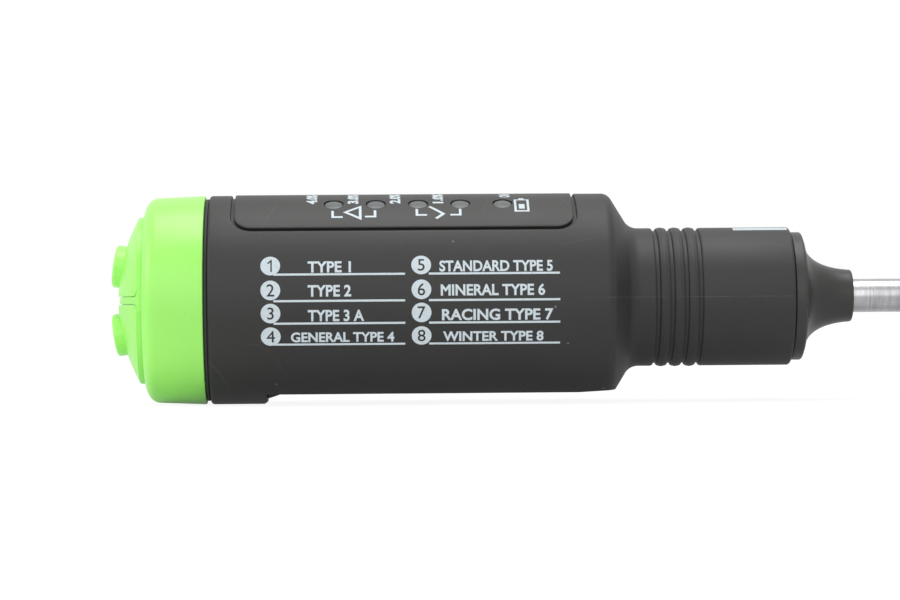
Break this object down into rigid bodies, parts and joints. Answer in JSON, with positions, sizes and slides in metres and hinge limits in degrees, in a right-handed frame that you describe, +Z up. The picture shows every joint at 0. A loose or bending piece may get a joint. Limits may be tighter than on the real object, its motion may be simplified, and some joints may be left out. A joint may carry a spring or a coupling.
{
  "type": "brake fluid tester",
  "caption": "Hand-held electronic brake fluid tester: round barrel with ribbed neck, green end cap with press buttons, curved display panel, battery door and slim measuring probe.",
  "frame": {"origin": "bottom centre of the whole tool as it lies on its belly", "axes": "+X from the green end cap towards the probe's tip, +Z up through the display panel, -Y is the side that the panel is read from"},
  "size_m": [0.1966, 0.04, 0.0401],
  "materials": {
    "housing": "soft-touch satin",
    "panel": "satin",
    "lens": "translucent smoke",
    "led": "gloss",
    "cap": "semi-gloss",
    "seal": "matte",
    "board": "solder mask",
    "component": "matte",
    "connector": "matte",
    "ribbon": "matte",
    "chassis": "matte",
    "cell": "printed sleeve",
    "contact": "nickel plated",
    "screw": "zinc plated",
    "tube": "brushed",
    "insulator": "matte",
    "electrode": "gold plated",
    "lead_red": "satin",
    "lead_black": "satin"
  },
  "bodies": {
    "body": {"housing": "housing", "display_panel": "panel", "led_window_1": "lens", "led_window_2": "lens", "led_window_3": "lens", "led_window_4": "lens", "led_window_5": "lens", "led_1": "led", "led_2": "led", "led_3": "led", "led_4": "led", "led_5": "led", "end_cap": "cap", "cap_seal": "seal", "nose_seal": "seal", "switch_board": "board", "main_board": "board", "power_switch": "component", "select_switch": "component", "controller_chip": "component", "probe_connector": "connector", "board_ribbon": "ribbon", "chassis": "chassis", "battery_cell": "cell", "spring_contact": "contact", "plate_contact": "contact", "battery_spring": "contact", "board_screw_1": "screw", "board_screw_2": "screw", "board_screw_3": "screw", "board_screw_4": "screw", "switch_board_screw_1": "screw", "switch_board_screw_2": "screw", "chassis_screw_1": "screw", "chassis_screw_2": "screw", "probe_nose": "housing", "probe_tube": "tube", "probe_insulator": "insulator", "electrode_1": "electrode", "electrode_2": "electrode", "probe_lead_1": "lead_red", "probe_lead_2": "lead_black"},
    "power_button": {"power_button": "cap"},
    "select_button": {"select_button": "cap"},
    "battery_door": {"battery_door": "housing"}
  },
  "joints": [
    {"name": "power_press", "type": "slide", "parent": "body", "child": "power_button", "axis": [1, 0, 0], "range_m": [0, 0.0008], "stiffness_N_per_m": 800, "springref_m": -0.0005},
    {"name": "select_press", "type": "slide", "parent": "body", "child": "select_button", "axis": [1, 0, 0], "range_m": [0, 0.0008], "stiffness_N_per_m": 800, "springref_m": -0.0005},
    {"name": "door_hinge", "type": "hinge", "parent": "body", "child": "battery_door", "pos_m": [-0.01032, 0, 0.003], "axis": [0, -1, 0], "range_deg": [0, 90]}
  ]
}
